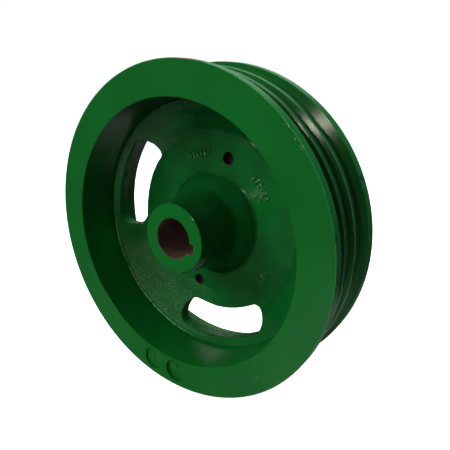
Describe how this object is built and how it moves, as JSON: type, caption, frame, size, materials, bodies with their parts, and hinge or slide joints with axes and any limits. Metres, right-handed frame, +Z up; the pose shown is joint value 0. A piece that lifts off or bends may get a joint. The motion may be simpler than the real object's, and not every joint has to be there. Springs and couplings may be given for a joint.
{
  "type": "v belt pulley",
  "caption": "Multi-groove V-belt pulley with a wide plain rim face, dished web with kidney slots, and a tapered hub with a keyed through bore.",
  "frame": {"origin": "on the shaft axis, at half the face width of the rim", "axes": "+Y along the shaft axis towards the back, so the open front with the hub's nose looks along -Y; +Z up; +X right; the keyway points 15 degrees below +X"},
  "size_m": [0.2794, 0.0714, 0.2794],
  "materials": {
    "rim_enamel": "semi-gloss green enamel over turned grey iron",
    "web_enamel": "semi-gloss green enamel over sand-cast grey iron",
    "hub_enamel": "semi-gloss green enamel outside, dark primer and rust in the bore"
  },
  "bodies": {
    "root": {"rim": "rim_enamel", "web": "web_enamel", "hub": "hub_enamel"}
  },
  "joints": []
}
